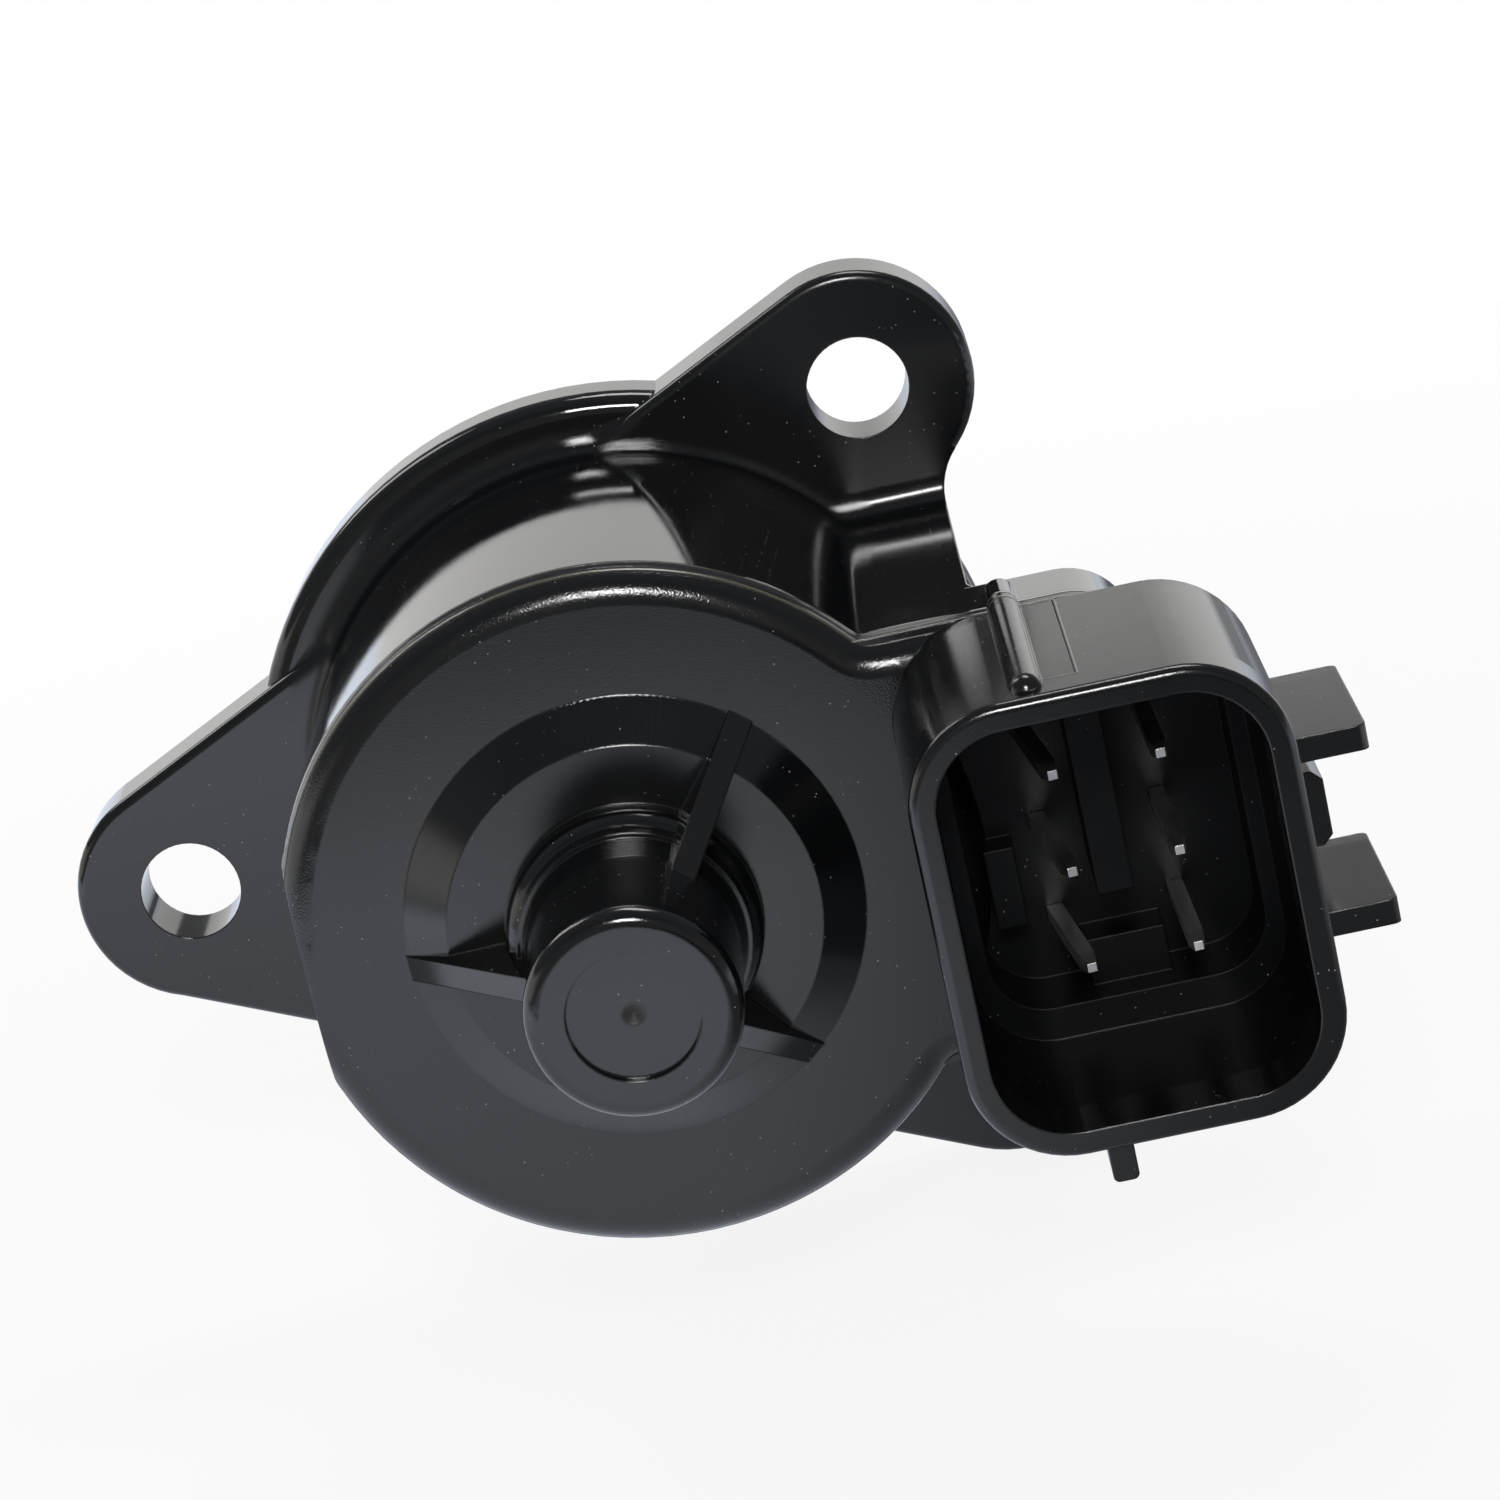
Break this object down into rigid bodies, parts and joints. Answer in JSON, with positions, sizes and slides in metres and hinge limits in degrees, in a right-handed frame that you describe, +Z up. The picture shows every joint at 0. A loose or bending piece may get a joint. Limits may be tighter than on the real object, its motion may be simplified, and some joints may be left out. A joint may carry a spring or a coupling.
{
  "type": "idle air control valve",
  "caption": "Idle air control valve with a moulded stepper motor housing, three-ear flange, angled multi-pin connector and a screw-driven sprung pintle",
  "frame": {"origin": "centre of the flange's mating face, on the valve axis", "axes": "+Y points out of the mating face along the pintle, -Y along the nose, +Z up, +X to the connector"},
  "size_m": [0.0681, 0.0756, 0.0513],
  "materials": {
    "black_nylon": "satin moulded nylon, black",
    "tinned_pin": "tin plate",
    "pole_steel": "pressed sheet steel",
    "cream_plastic": "natural moulded plastic",
    "copper_wire": "enamelled copper wire",
    "ferrite": "sintered ferrite",
    "nut_plastic": "bearing-grade plastic",
    "bearing_steel": "polished bearing steel",
    "cage_brass": "pressed brass",
    "bush_bronze": "sintered bronze",
    "spring_steel": "spring steel",
    "cover_metal": "turned aluminium",
    "seal_rubber": "moulded rubber",
    "screw_steel": "ground steel",
    "pintle_metal": "turned aluminium"
  },
  "bodies": {
    "housing": {"housing": "black_nylon", "terminal_pin_1": "tinned_pin", "terminal_pin_2": "tinned_pin", "terminal_pin_3": "tinned_pin", "terminal_pin_4": "tinned_pin", "terminal_pin_5": "tinned_pin", "terminal_pin_6": "tinned_pin", "rear_pole_cup": "pole_steel", "rear_pole_plate": "pole_steel", "front_pole_plate": "pole_steel", "front_pole_cup": "pole_steel", "rear_bobbin": "cream_plastic", "front_bobbin": "cream_plastic", "rear_winding": "copper_wire", "front_winding": "copper_wire", "bearing_outer_race": "bearing_steel", "rear_bush": "bush_bronze", "preload_washer": "spring_steel", "front_cover": "cover_metal", "guide_bush": "cream_plastic", "flange_seal": "seal_rubber"},
    "rotor": {"rotor_magnet": "ferrite", "rotor_hub": "nut_plastic", "bearing_inner_race": "bearing_steel"},
    "ball_cage": {"bearing_cage": "cage_brass", "bearing_balls": "bearing_steel"},
    "plunger": {"lead_screw": "screw_steel", "pintle": "pintle_metal", "pintle_spring": "spring_steel"}
  },
  "joints": [
    {"name": "rotor_spin", "type": "hinge", "parent": "housing", "child": "rotor", "pos_m": [0, 0, 0], "axis": [0, 1, 0], "range_deg": [-898, 898]},
    {"name": "cage_orbit", "type": "hinge", "parent": "housing", "child": "ball_cage", "pos_m": [0, 0, 0], "axis": [0, 1, 0], "range_deg": [-363, 363]},
    {"name": "pintle_slide", "type": "slide", "parent": "housing", "child": "plunger", "axis": [0, 1, 0], "range_m": [-0.004, 0.004], "deforming": ["pintle_spring"]}
  ],
  "couplings": [
    {"joint": "cage_orbit", "follows": "rotor_spin", "ratio": 0.4034},
    {"joint": "pintle_slide", "follows": "rotor_spin", "m_per_rad": -0.00025465}
  ]
}
